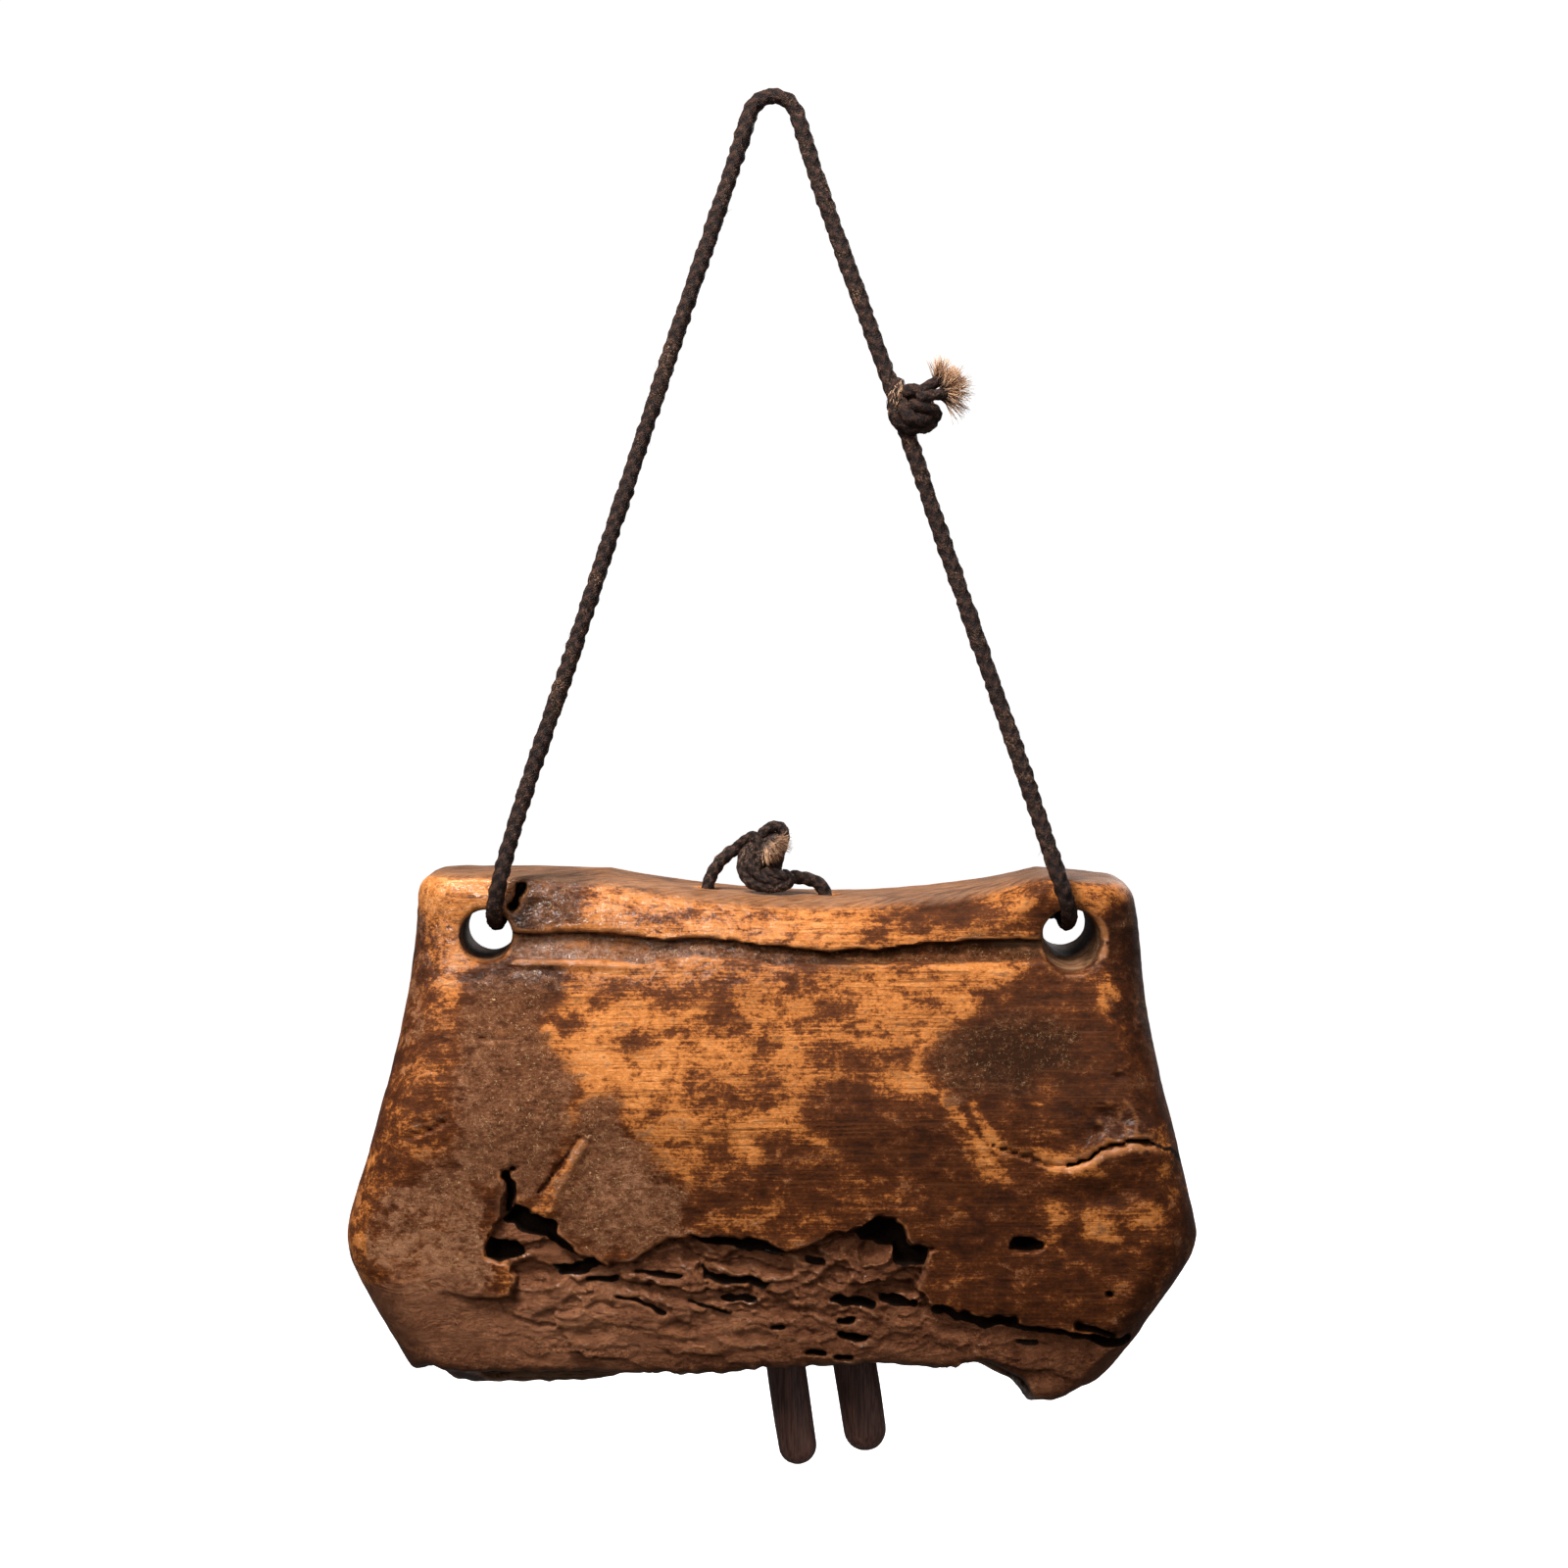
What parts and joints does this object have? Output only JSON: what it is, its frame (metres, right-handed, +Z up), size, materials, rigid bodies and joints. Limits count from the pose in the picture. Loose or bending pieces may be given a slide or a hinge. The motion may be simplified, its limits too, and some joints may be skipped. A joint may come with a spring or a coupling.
{
  "type": "carved wooden cattle bell",
  "caption": "Hollowed hardwood cattle bell, wider than deep, hung from a knotted rope loop, with stick clappers on a cord.",
  "frame": {"origin": "the underside of the rope's bight, where a hook, peg or neck strap holds it up", "axes": "+X to the right along the bell's width, -Y out of the front face, +Z up"},
  "size_m": [0.303, 0.1, 0.4888],
  "materials": {
    "bell_wood": "hand-polished golden to dark brown hardwood with grey-brown grime patches",
    "clapper_wood": "dark brown whittled sticks, dull with handling",
    "dark_rope": "three-strand laid plant-fibre rope, dark with grease",
    "dark_cord": "three-strand laid cord, dark with grease",
    "frayed_fibre": "straw-coloured loose plant fibres"
  },
  "bodies": {
    "rope_bight": {"carrying_rope_bight": "dark_rope"},
    "bell": {"bell_body": "bell_wood", "carrying_rope": "dark_rope", "carrying_rope_knot": "dark_rope", "carrying_rope_frayed_ends": "frayed_fibre", "clapper_cord": "dark_cord", "clapper_cord_knot": "dark_cord", "clapper_cord_frayed_end": "frayed_fibre"},
    "left_clapper": {"clapper_left": "clapper_wood"},
    "right_clapper": {"clapper_right": "clapper_wood"}
  },
  "joints": [
    {"name": "bell_swing", "type": "hinge", "parent": "rope_bight", "child": "bell", "pos_m": [0, 0, 0], "axis": [1, 0, 0], "range_deg": [-30, 30]},
    {"name": "left_clapper_swing", "type": "hinge", "parent": "bell", "child": "left_clapper", "pos_m": [-0.0145, 0, -0.331], "axis": [1, 0, 0], "range_deg": [-10, 10]},
    {"name": "right_clapper_swing", "type": "hinge", "parent": "bell", "child": "right_clapper", "pos_m": [0.01, 0, -0.331], "axis": [1, 0, 0], "range_deg": [-10, 10]}
  ]
}
